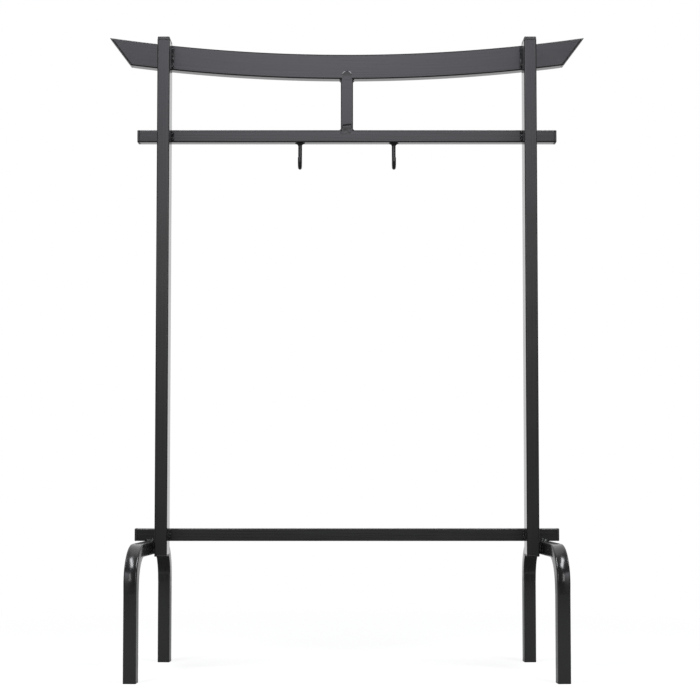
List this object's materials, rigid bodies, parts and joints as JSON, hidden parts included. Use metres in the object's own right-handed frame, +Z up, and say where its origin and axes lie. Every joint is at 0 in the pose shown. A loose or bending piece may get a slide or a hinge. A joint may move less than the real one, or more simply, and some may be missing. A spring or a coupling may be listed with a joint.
{
  "type": "gong stand",
  "caption": "Welded steel tube stand for a hanging gong: torii-shaped frame with a curved top beam, a bar with rod hooks and two arched legs.",
  "frame": {"origin": "on the floor, under the middle of the stand's outer box", "axes": "+Z up, +X to the right as the player sees the stand, -Y towards the player: the posts are on the -Y side of the bars"},
  "size_m": [0.9642, 0.368, 1.2767],
  "materials": {
    "powder_coat": "black powder coat, semi-gloss, with a fine orange-peel surface",
    "plastic_plug": "black moulded plastic, satin",
    "coated_rod": "black powder coat over round rod, semi-gloss",
    "coated_weld": "black powder coat over an uneven hand weld, semi-gloss"
  },
  "bodies": {
    "root": {"left_post": "powder_coat", "left_post_cap": "plastic_plug", "left_post_base_plug": "plastic_plug", "right_post": "powder_coat", "right_post_cap": "plastic_plug", "right_post_base_plug": "plastic_plug", "curved_beam": "powder_coat", "curved_beam_left_end_plate": "powder_coat", "curved_beam_right_end_plate": "powder_coat", "centre_strut": "powder_coat", "hanging_bar": "powder_coat", "hanging_bar_left_plug": "plastic_plug", "hanging_bar_right_plug": "plastic_plug", "lower_bar": "powder_coat", "lower_bar_left_plug": "plastic_plug", "lower_bar_right_plug": "plastic_plug", "left_leg": "powder_coat", "left_front_foot": "plastic_plug", "left_rear_foot": "plastic_plug", "right_leg": "powder_coat", "right_front_foot": "plastic_plug", "right_rear_foot": "plastic_plug", "left_hook": "coated_rod", "right_hook": "coated_rod", "left_post_beam_outer_weld": "coated_weld", "left_post_beam_inner_weld": "coated_weld", "left_post_hanging_bar_outer_weld": "coated_weld", "left_post_hanging_bar_inner_weld": "coated_weld", "left_post_lower_bar_outer_weld": "coated_weld", "left_post_lower_bar_inner_weld": "coated_weld", "right_post_beam_outer_weld": "coated_weld", "right_post_beam_inner_weld": "coated_weld", "right_post_hanging_bar_outer_weld": "coated_weld", "right_post_hanging_bar_inner_weld": "coated_weld", "right_post_lower_bar_outer_weld": "coated_weld", "right_post_lower_bar_inner_weld": "coated_weld", "strut_top_left_weld": "coated_weld", "strut_top_right_weld": "coated_weld", "strut_bottom_left_weld": "coated_weld", "strut_bottom_right_weld": "coated_weld", "left_leg_front_weld": "coated_weld", "left_leg_rear_weld": "coated_weld", "right_leg_front_weld": "coated_weld", "right_leg_rear_weld": "coated_weld"}
  },
  "joints": []
}
